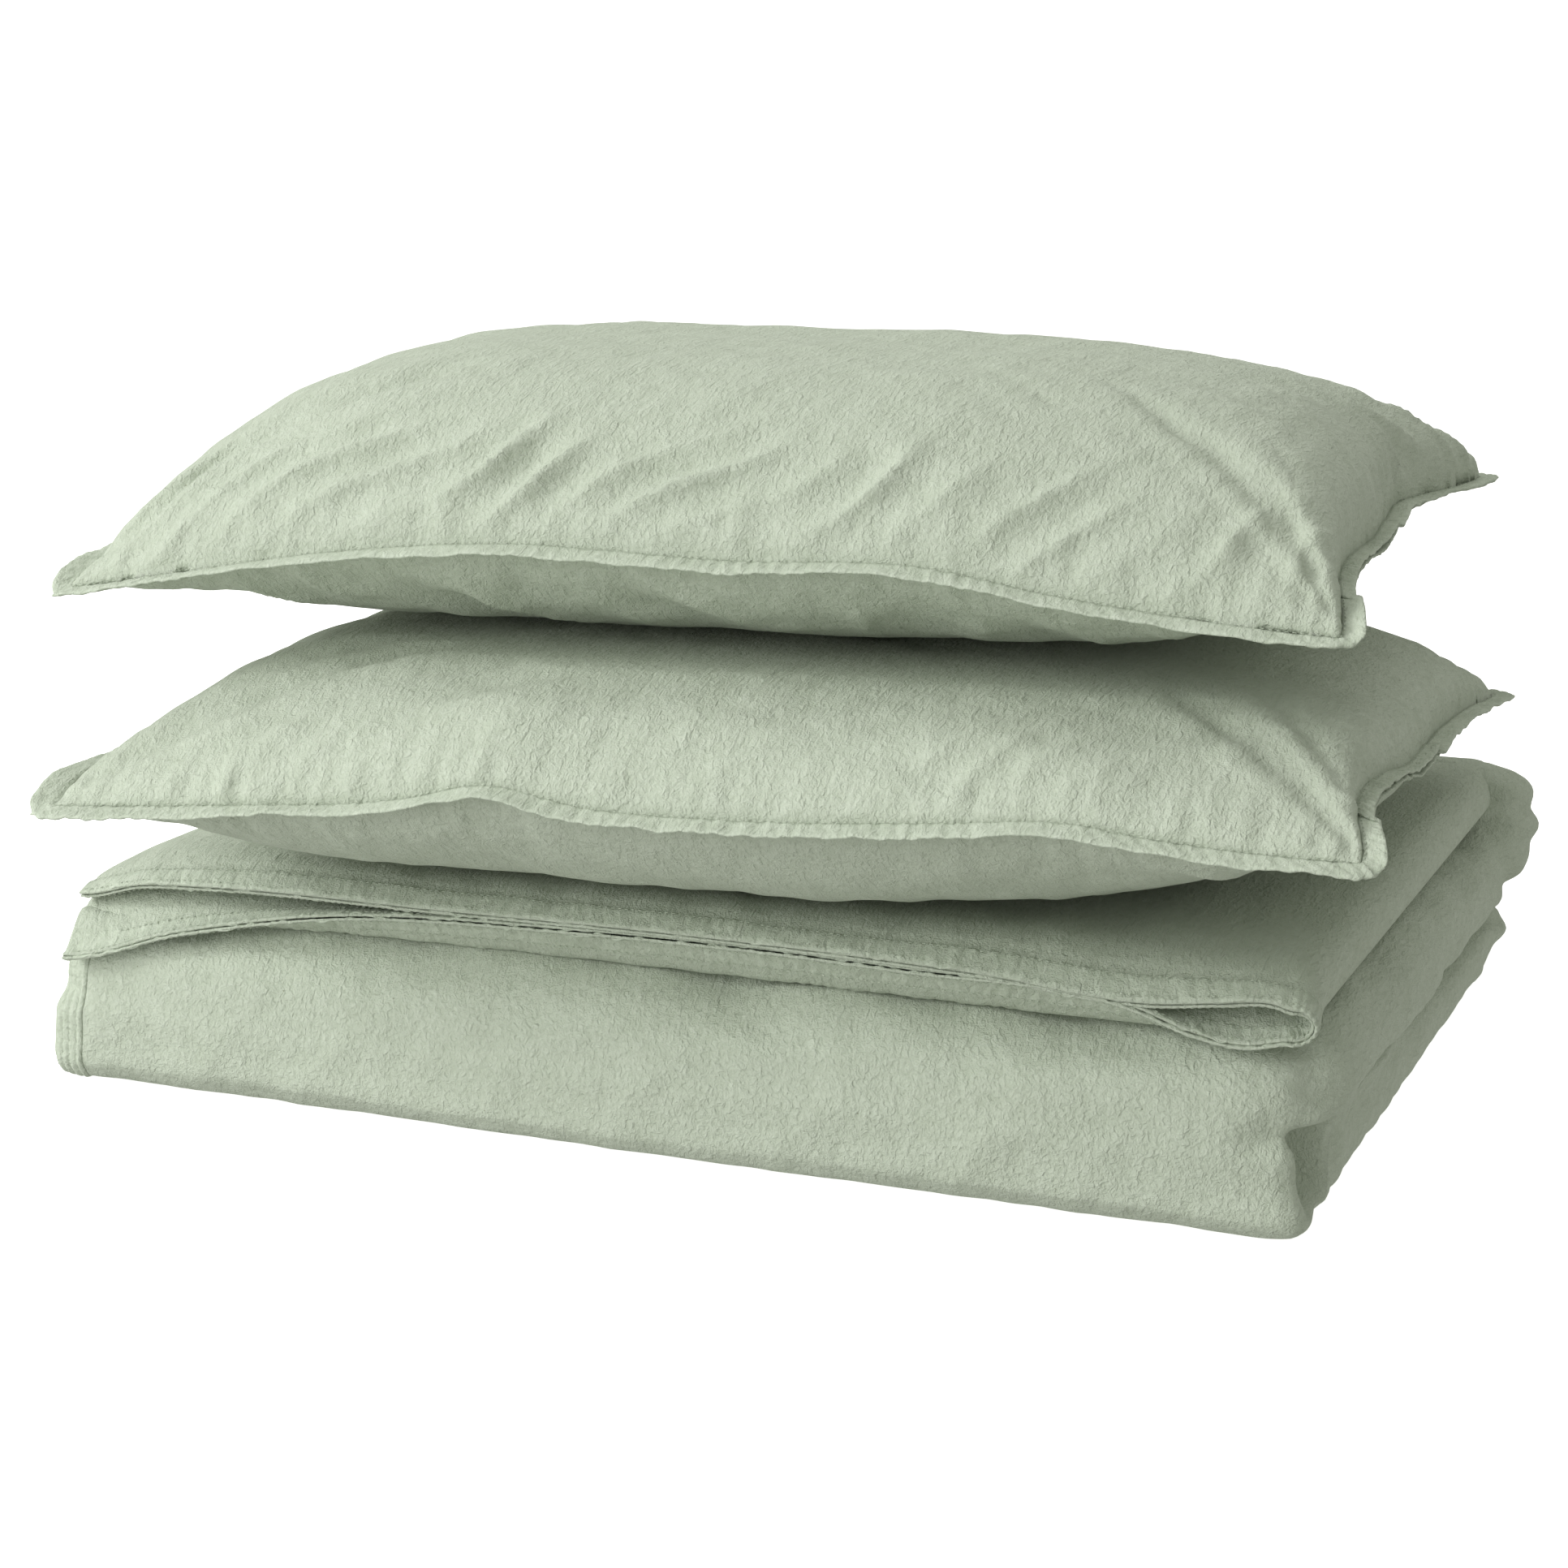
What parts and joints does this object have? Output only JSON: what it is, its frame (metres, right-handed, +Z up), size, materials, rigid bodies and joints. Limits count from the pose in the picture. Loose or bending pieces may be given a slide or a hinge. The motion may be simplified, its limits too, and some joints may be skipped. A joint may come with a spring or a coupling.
{
  "type": "folded duvet with pillows",
  "caption": "Quilted duvet folded in its cotton cover with its mouth at the front, and filled pillows in flanged cases stacked on it.",
  "frame": {"origin": "middle of the flat underside of the folded duvet", "axes": "+X along the cover's mouth to the right, +Y from the mouth to the back bend, +Z up"},
  "size_m": [0.6473, 0.576, 0.3474],
  "materials": {
    "washed_cotton": "matte, crinkled, washed",
    "hem_cotton": "matte, topstitched and puckered",
    "casing_cotton": "matte",
    "ticking_cotton": "matte",
    "polyester_fibre": "fluffy",
    "stud_plastic": "satin",
    "label_tape": "satin weave"
  },
  "bodies": {
    "folded_base": {"casing_inner_lower": "casing_cotton", "casing_outer_lower": "casing_cotton", "cover_back_bend": "washed_cotton", "cover_inner_lower": "washed_cotton", "cover_outer_lower": "washed_cotton", "quilt_back_bend": "polyester_fibre", "side_seam_lower": "hem_cotton", "wadding_lower": "polyester_fibre"},
    "top_fold": {"care_label": "label_tape", "casing_inner_top": "casing_cotton", "casing_outer_top": "casing_cotton", "cover_inner_top": "washed_cotton", "cover_outer_top": "washed_cotton", "lower_hem_inner": "hem_cotton", "lower_hem_outer": "hem_cotton", "lower_snap_socket_1": "stud_plastic", "lower_snap_socket_2": "stud_plastic", "lower_snap_socket_3": "stud_plastic", "lower_snap_stud_1": "stud_plastic", "lower_snap_stud_2": "stud_plastic", "lower_snap_stud_3": "stud_plastic", "side_seam_lower_leaf": "hem_cotton", "side_seam_upper_leaf": "hem_cotton", "upper_hem_inner": "hem_cotton", "upper_hem_outer": "hem_cotton", "upper_snap_socket_1": "stud_plastic", "upper_snap_socket_2": "stud_plastic", "upper_snap_socket_3": "stud_plastic", "upper_snap_stud_1": "stud_plastic", "upper_snap_stud_2": "stud_plastic", "upper_snap_stud_3": "stud_plastic", "wadding_top": "polyester_fibre"},
    "lower_pillow": {"lower_case_bottom": "washed_cotton", "lower_case_flange": "hem_cotton", "lower_case_inner_flap": "washed_cotton", "lower_case_opening_hem": "hem_cotton", "lower_case_top": "washed_cotton", "lower_filling": "polyester_fibre", "lower_ticking_bottom": "ticking_cotton", "lower_ticking_top": "ticking_cotton"},
    "upper_pillow": {"upper_case_bottom": "washed_cotton", "upper_case_flange": "hem_cotton", "upper_case_inner_flap": "washed_cotton", "upper_case_opening_hem": "hem_cotton", "upper_case_top": "washed_cotton", "upper_filling": "polyester_fibre", "upper_ticking_bottom": "ticking_cotton", "upper_ticking_top": "ticking_cotton"}
  },
  "joints": [
    {"name": "top_fold_opens", "type": "hinge", "parent": "folded_base", "child": "top_fold", "pos_m": [0, 0.20565, 0.07915], "axis": [-1, 0, 0], "range_deg": [0, 45]},
    {"name": "lower_pillow_lifts", "type": "slide", "parent": "top_fold", "child": "lower_pillow", "axis": [0, 0, 1], "range_m": [0, 0.3]},
    {"name": "upper_pillow_lifts", "type": "slide", "parent": "lower_pillow", "child": "upper_pillow", "axis": [0, 0, 1], "range_m": [0, 0.3]}
  ]
}
